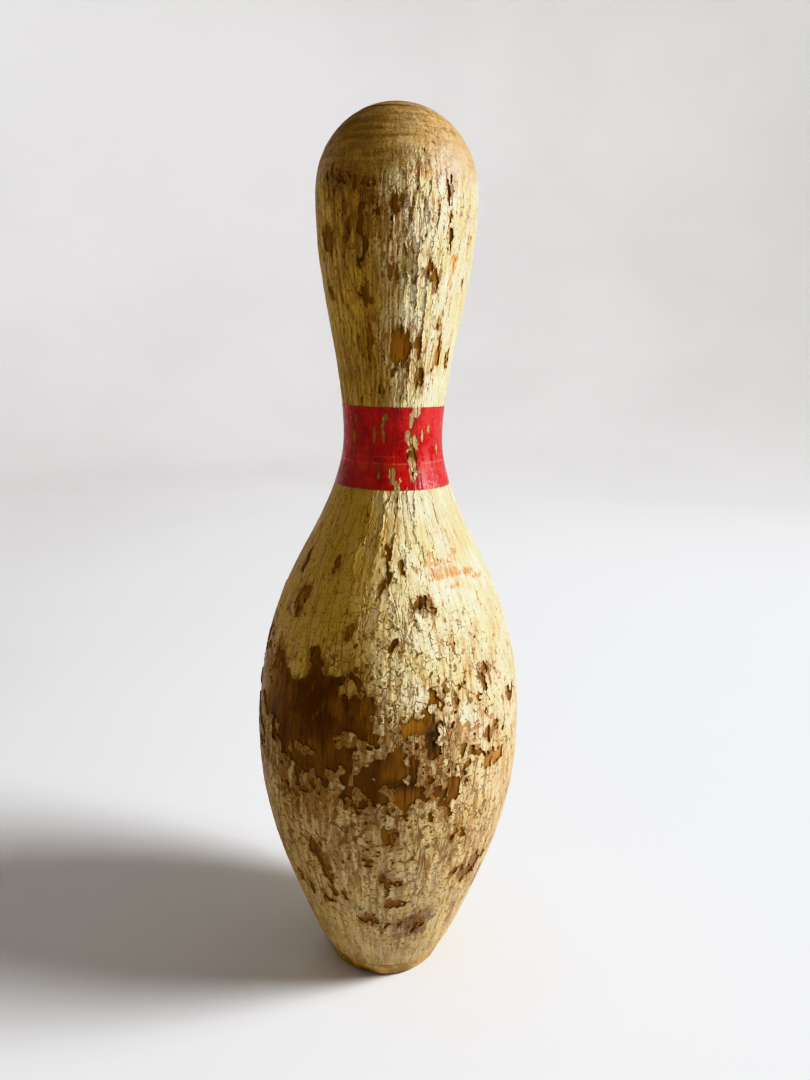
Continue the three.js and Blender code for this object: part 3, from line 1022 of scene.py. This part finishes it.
def srgb(red, green, blue):
    """A shader colour from 0-255 screen values."""
    channels = [c / 255 for c in (red, green, blue)]
    return [c / 12.92 if c <= 0.04045 else ((c + 0.055) / 1.055) ** 2.4 for c in channels] + [1.0]


class Signal:
    """A node's output, which can be reckoned with like a number."""

    def __init__(self, look, socket):
        self.look = look
        self.socket = socket

    def __add__(self, other):
        return self.look.maths("ADD", self, other)

    def __sub__(self, other):
        return self.look.maths("SUBTRACT", self, other)

    def __rsub__(self, other):
        return self.look.maths("SUBTRACT", other, self)

    def __mul__(self, other):
        return self.look.maths("MULTIPLY", self, other)

    def ramp(self, low, high, new_low=0, new_high=1):
        """Eased from new_low, at low and under, to new_high, at high and over."""
        inputs = {"Value": self, 1: low, 2: high, 3: new_low, 4: new_high}
        kind = "ShaderNodeMapRange"
        return self.look.signal(kind, inputs, "Result", interpolation_type="SMOOTHSTEP")


class Look:
    """A material written as calls that each add a node. Colours are 0-255 and sizes are mm."""

    def __init__(self, name, on_film=False):
        self.on_film = on_film
        self.material = bpy.data.materials.new(name)
        self.material.use_nodes = True
        self.tree = self.material.node_tree
        self.tree.nodes.clear()
        self.colour = None

    def signal(self, kind, inputs, output, **settings):
        """Adds a node with its inputs and settings, and gives one of its outputs."""
        made = self.tree.nodes.new(kind)
        for key, value in settings.items():
            setattr(made, key, value)
        for key, value in inputs.items():
            if isinstance(value, Signal):
                self.tree.links.new(value.socket, made.inputs[key])
            else:
                made.inputs[key].default_value = value
        return Signal(self, made.outputs[output]) if made.outputs else None

    def maths(self, operation, a, b):
        """Arithmetic on two numbers."""
        return self.signal("ShaderNodeMath", {0: a, 1: b}, 0, operation=operation)

    def vector(self, operation, a, b):
        """Arithmetic on two vectors."""
        return self.signal("ShaderNodeVectorMath", {0: a, 1: b}, 0, operation=operation)

    def attribute(self, name):
        """A number stored on the mesh."""
        return self.signal("ShaderNodeAttribute", {}, "Fac", attribute_name=name)

    def place(self, stretch=1):
        """Where a point is on its piece, shrunk along the pin so that patterns stretch up it: on a film
        by its unrolled place, and otherwise in the object's own space."""
        if self.on_film:
            at = self.signal("ShaderNodeAttribute", {}, "Vector", attribute_name="around")
        else:
            at = self.signal("ShaderNodeTexCoord", {}, "Object")
        return self.vector("MULTIPLY", at, (1, 1, 1 / stretch))

    def noise(self, place, size, detail=3, distortion=0, output="Fac"):
        """Noise of a size."""
        inputs = {"Vector": place, "Scale": 1 / (size * MM), "Detail": detail, "Distortion": distortion}
        return self.signal("ShaderNodeTexNoise", inputs, output)

    def cells(self, place, size, feature, output):
        """Cells of a size: the distance to their edges, or each one's own random value."""
        inputs = {"Vector": place, "Scale": 1 / (size * MM), "Randomness": 1}
        return self.signal("ShaderNodeTexVoronoi", inputs, output, feature=feature)

    def cracks(self, place, size, reach):
        """1 in the cracks between cells of a size, easing to 0 at reach, a share of that size."""
        return self.cells(place, size, "DISTANCE_TO_EDGE", "Distance").ramp(0, reach, 1, 0)

    def steps(self, place, size):
        """Each cell's own random value, for the cells that cracks runs between."""
        return self.cells(place, size, "F1", "Color")

    def warped(self, stretch, size, amount):
        """A stretched place pushed about by noise, so that cell edges wander."""
        place = self.place(stretch)
        push = self.vector("SUBTRACT", self.noise(place, size, 2, output="Color"), (0.5, 0.5, 0.5))
        reach = (amount * MM, amount * MM, amount * MM / stretch)
        return self.vector("ADD", place, self.vector("MULTIPLY", push, reach))

    def mix(self, share, a, b):
        """Colour a turning into colour b as share goes from 0 to 1."""
        a, b = (srgb(*c) if isinstance(c, tuple) else c for c in (a, b))
        # Sockets 6 and 7 and output 2 are the node's colour ones.
        return self.signal("ShaderNodeMix", {0: share, 6: a, 7: b}, 2, data_type="RGBA")

    def start(self, share, a, b):
        """The colour under all the others, mottled from a to b."""
        self.colour = self.mix(share, a, b)

    def paint(self, share, colour):
        """Lays a colour over what is there so far, as thickly as share says."""
        self.colour = self.mix(share, self.colour, colour)

    def finish(self, roughness, height, depth, strength, specular=0.5):
        """The material, with height raised to depth as bump."""
        inputs = {"Height": height, "Distance": depth * MM, "Strength": strength}
        normal = self.signal("ShaderNodeBump", inputs, "Normal")
        inputs = {
            "Base Color": self.colour,
            "Roughness": roughness,
            "Normal": normal,
            "Specular IOR Level": specular,
        }
        shader = self.signal("ShaderNodeBsdfPrincipled", inputs, "BSDF")
        self.signal("ShaderNodeOutputMaterial", {"Surface": shader}, 0)
        return self.material


def cream_paint():
    """Cream paint gone yellow and tan, streaked and flecked, with dirt in its cracks and edges, and
    painted shade on the side facing left as a darker yellow-brown.
    """
    look = Look("aged_cream_coat", on_film=True)
    even, along = look.place(1), look.place(8)
    names = "grime crack rim fine lines worn top age under flake rubbed tanned".split()
    attributes = map(look.attribute, names)
    grime, crack, rim, fine, lines, worn, top, age, under, flake, rubbed, tanned = attributes
    patches = look.noise(even, 14, 5)
    streaks = look.noise(along, 1.5, 5)
    flecks = look.noise(even, 1.2, 4)

    look.start(patches.ramp(0.35, 0.65), (244, 242, 214), (232, 224, 176))
    # Painted shade on the side facing left: a darker yellow-brown, partly uneven yellowing.
    look.paint(age.ramp(0, 1, 0, 0.92), (194, 156, 50))
    # Darker tan towards the bottom.
    look.paint(tanned.ramp(0, 1, 0, 0.9), (186, 154, 88))
    look.paint(flake.ramp(0.3, 0.8, 0, 0.4), (198, 168, 104))
    look.paint(streaks.ramp(0.47, 0.68, 0, 0.65), (186, 152, 82))
    look.paint(rubbed * streaks.ramp(0.36, 0.5, 0.3, 0.9), (190, 134, 52))
    stain = worn + (streaks - 0.5) * 1.6
    look.paint(stain.ramp(0.15, 0.75, 0, 0.8), (148, 107, 48))
    dirt = grime * look.noise(along, 3, 5).ramp(0.32, 0.6, 0.15, 1)
    look.paint(dirt.ramp(0.05, 0.85, 0, 0.85), (128, 90, 44))

    # The crown's tan, in faint rings, and the film that the band is seated on.
    rings = look.noise(look.place(0.12), 16, 4)
    tan = look.mix(rings.ramp(0.38, 0.62), (176, 146, 94), (136, 104, 58))
    tan = look.mix(look.noise(even, 0.7).ramp(0.5, 0.68, 0, 0.6), tan, (204, 172, 112))
    look.paint(top * 0.82, tan)
    look.paint(under * 0.7, (150, 104, 48))

    # Flecks, small chips and soot.
    look.paint((flecks + fine * 0.05).ramp(0.6, 0.68, 0, 0.75), (138, 98, 46))
    chips = look.noise(look.place(1.7), 1.9, 5) + worn * 0.13
    chipped = (chips + fine * 0.04).ramp(0.668, 0.695, 0, 0.85)
    look.paint(chipped, look.mix(patches.ramp(0.4, 0.6), (154, 108, 44), (110, 74, 26)))
    soot = grime * look.noise(even, 2, 5).ramp(0.54, 0.66) * (1 - top * 0.75)
    look.paint(soot.ramp(0.15, 0.8, 0, 0.8), (60, 38, 26))

    # Hair cracks round small flakes, long ones up the pin, and the flakes' own rims.
    flake_size, strip_size = 3.6, 2.8
    flake_place = look.warped(2.2, 2.2, 2.4)
    strip_place = look.warped(8, 2.5, 1.6)
    hair = look.cracks(flake_place, flake_size, 0.06) * look.noise(even, 4, 4).ramp(0.42, 0.56) * fine
    line = look.cracks(strip_place, strip_size, 0.075) * look.noise(along, 4, 4).ramp(0.43, 0.6) * lines
    broken = look.maths("MAXIMUM", look.maths("MAXIMUM", hair, line), crack)
    crack_tone = look.mix(flecks.ramp(0.4, 0.6), (150, 102, 44), (92, 56, 20))
    look.paint(broken.ramp(0.1, 0.9, 0, 0.75), crack_tone)
    look.paint(rim * flecks.ramp(0.35, 0.65, 0.15, 0.8), (128, 88, 38))

    roughness = (look.noise(even, 6, 4) + flecks * 0.3).ramp(0.45, 0.9, 0.34, 0.64)
    height = streaks * 0.25 - look.maths("MAXIMUM", broken, chipped) * 0.6 + flecks * 0.3
    height = height + look.steps(flake_place, flake_size) * fine * 0.9
    height = height + look.steps(strip_place, strip_size) * (lines + 0.15) * 0.9
    return look.finish(roughness, height, 0.9, 0.9)


def red_paint():
    """Glossy red, brushed on, scuffed, and orange where it has worn thin."""
    look = Look("worn_red_band", on_film=True)
    even, along = look.place(1), look.place(10)
    rim, scuff, line, faded = map(look.attribute, ("rim", "scuff", "line", "faded"))
    look.start(look.noise(even, 12).ramp(0.35, 0.65), (182, 20, 18), (142, 5, 6))
    look.paint(look.noise(look.place(0.12), 6, 4).ramp(0.52, 0.68, 0, 0.5), (206, 44, 44))
    look.paint(look.noise(along, 1.4, 4).ramp(0.6, 0.74, 0, 0.55), (112, 10, 8))
    look.paint(faded * look.noise(along, 2.2, 4).ramp(0.38, 0.6) * 0.85, (166, 76, 24))
    look.paint(line * look.noise(even, 3).ramp(0.35, 0.6, 0.1, 0.75), (214, 108, 92))
    look.paint(scuff.ramp(0.1, 0.9, 0, 0.7), (150, 70, 40))
    look.paint(rim * 0.6, (120, 60, 24))
    roughness = look.noise(even, 4, 4).ramp(0.35, 0.7, 0.22, 0.46)
    height = look.noise(along, 1.6) + look.noise(even, 1.2, 2) * 0.4
    return look.finish(roughness, height, 0.4, 0.6, specular=0.7)


def old_maple():
    """Maple under dark old varnish, rubbed golden in places and sooty in others."""
    look = Look("old_varnished_maple")
    grain = look.place(26)
    dark, golden, soot, tint = map(look.attribute, ("dark", "golden", "soot", "tint"))
    fibre = look.noise(grain, 1.1, 5)
    broad = look.noise(look.place(6), 7, 4, distortion=0.4)
    look.start(broad.ramp(0.35, 0.66), (158, 114, 46), (112, 76, 26))
    look.paint(tint.ramp(0, 1, 0, 0.3), (104, 68, 28))
    look.paint(golden * fibre.ramp(0.35, 0.62, 0.2, 0.9), (180, 128, 56))
    varnish = dark * look.noise(look.place(4), 5, 4).ramp(0.25, 0.5, 0.35, 1)
    look.paint(varnish * 0.92, (82, 43, 5))
    look.paint(fibre.ramp(0.48, 0.68, 0, 0.75), (70, 42, 15))
    look.paint(look.noise(grain, 0.8, 4).ramp(0.62, 0.74, 0, 0.5), (196, 146, 70))
    look.paint(soot * look.noise(look.place(1), 1.6, 4).ramp(0.3, 0.6, 0.5, 0.95), (46, 38, 34))
    roughness = look.noise(look.place(5), 3, 4).ramp(0.3, 0.7, 0.24, 0.55)
    return look.finish(roughness, fibre + broad * 0.4, 0.4, 0.6, specular=0.22)


def ring_fibre():
    """Yellowed moulded fibre, dark in its dents and darker towards its foot."""
    look = Look("scuffed_base_ring")
    even = look.place(1)
    dent, height_mm = map(look.attribute, ("dent", "height"))
    patches = look.noise(even, 5, 5)
    fine = look.noise(even, 1.2, 4)
    look.start(patches.ramp(0.4, 0.62), (186, 154, 92), (158, 126, 66))
    look.paint(fine.ramp(0.55, 0.72, 0, 0.7), (116, 82, 40))
    # Darker towards the foot.
    low = height_mm.ramp(0, 2.2, 1, 0)
    look.paint(low * patches.ramp(0.3, 0.6, 0.4, 1) * 0.85, (84, 54, 24))
    look.paint(dent * 0.8, (66, 42, 20))
    roughness = fine.ramp(0.3, 0.7, 0.42, 0.72)
    return look.finish(roughness, fine + patches * 0.6, 0.4, 0.6, specular=0.4)


def pale_card():
    """The near-white of the backdrop."""
    look = Look("pale_floor")
    fine = look.noise(look.place(1), 3, 2)
    look.start(look.noise(look.place(1), 400, 2).ramp(0.3, 0.7), (236, 236, 237), (232, 232, 233))
    return look.finish(fine.ramp(0.3, 0.7, 0.8, 0.9), fine, 0.1, 0.2)


maple = old_maple()
pieces = [
    (coat_object, "cream_coat", "cream_coat", cream_paint()),
    (band_object, "neck_band", "neck_band", red_paint()),
    (ring_object, "base_ring", "base_ring", ring_fibre()),
    *((board, node, "maple", maple) for board, node in boards),
]
for piece, node, slot, material in pieces:
    piece.data.materials.append(material)
    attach(piece, "root")
    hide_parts(node)


# -------- studio and camera


def backdrop():
    """A pale floor that curves up into a wall all round."""
    metre = 1000  # mm
    reach, bend_radius, wall_top = 1.5 * metre, 1.2 * metre, 2.0 * metre
    flat = [(0.02 * metre, 0), (0.3 * metre, 0), (0.8 * metre, 0), (reach, 0)]
    bend = []
    for t in np.linspace(0.1, math.pi / 2, 16):
        bend.append((reach + bend_radius * math.sin(t), bend_radius * (1 - math.cos(t))))
    profile = np.array([*flat, *bend, (reach + bend_radius, wall_top)])
    points, _ = lathe(profile, 96)
    rows, columns = points.shape[:2]
    middle = np.full(columns, rows * columns)
    first = np.arange(columns)
    fan = triangles(np.roll(first, -1), first, middle)
    faces = np.concatenate([grid_faces(rows, columns), fan])[:, ::-1]
    faces = np.where(faces[:, :1] < 0, np.roll(faces, -1, 1), faces)
    return new_object("floor", np.concatenate([points.reshape(-1, 3), [[0, 0, 0]]]), faces)


floor = backdrop()
floor.data.materials.append(pale_card())

world = bpy.data.worlds.new("studio_air")
world.use_nodes = True
air = world.node_tree.nodes["Background"]
air.inputs["Color"].default_value = srgb(255, 218, 168)
air.inputs["Strength"].default_value = 0.06
bpy.context.scene.world = world
bpy.context.scene.view_settings.view_transform = "Khronos PBR Neutral"
bpy.context.scene.view_settings.gamma = 0.8


def area_light(name, place, toward, size, watts, colour):
    """A round lamp at a place, facing along toward (metres)."""
    light = bpy.data.lights.new(name, "AREA")
    light.shape = "DISK"
    light.size = size
    light.energy = watts
    light.color = colour
    obj = linked(bpy.data.objects.new(name, light))
    obj.location = place
    obj.rotation_euler = toward.to_track_quat("-Z", "Y").to_euler()


def direction(azimuth, elevation):
    """A unit vector away from the pin."""
    a, e = math.radians(azimuth), math.radians(elevation)
    return Vector((math.sin(a) * math.cos(e), -math.cos(a) * math.cos(e), math.sin(e)))


# Two lamps on the pin: azimuth, elevation, distance, size, watts and colour.
aim = Vector((0, 0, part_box("neck_band")[0].z))
for name, azimuth, elevation, distance, size, watts, colour in (
    ("key", 84, 30, 1.3, 0.5, 36, (0.96, 0.99, 1.03)),
    ("fill", -62, 20, 1.5, 1.2, 1.2, (1.0, 0.64, 0.28)),
):
    away = direction(azimuth, elevation)
    area_light(name, aim + away * distance, -away, size, watts, colour)

# Five above the pin that face outwards and down, to whiten the floor and the wall all round.
for azimuth, watts in ((215, 16), (145, 16), (40, 6), (-35, 3), (90, 5)):
    away = direction(azimuth, 0)
    above = away * 1.1 + Vector((0, 0, 1.9))
    area_light("backdrop_wash", above, away * 1.6 + Vector((0, 0, -1.3)), 1.2, watts, (1.0, 0.99, 0.97))


def camera_at(place, yaw, pitch, roll, lens):
    """A camera that faces +Y, then turned right by yaw, down by pitch and over by roll (degrees)."""
    yaw, pitch, roll = map(math.radians, (yaw, pitch, roll))
    forward = Vector((math.sin(yaw) * math.cos(pitch), math.cos(yaw) * math.cos(pitch), -math.sin(pitch)))
    right = Vector((math.cos(yaw), -math.sin(yaw), 0))
    up = right.cross(forward)
    across = right * math.cos(roll) - up * math.sin(roll)
    upward = right * math.sin(roll) + up * math.cos(roll)
    camera = bpy.data.cameras.new("photo_camera")
    camera.lens = lens
    camera.sensor_width = 36
    camera.clip_start = 0.01
    obj = linked(bpy.data.objects.new("photo_camera", camera))
    obj.matrix_world = Matrix((across, upward, -forward)).transposed().to_4x4()
    obj.location = place
    return obj


photo_place = (0, -0.3241, 0.28535)
bpy.context.scene.camera = camera_at(photo_place, yaw=1.08, pitch=13.68, roll=-1.17, lens=25)
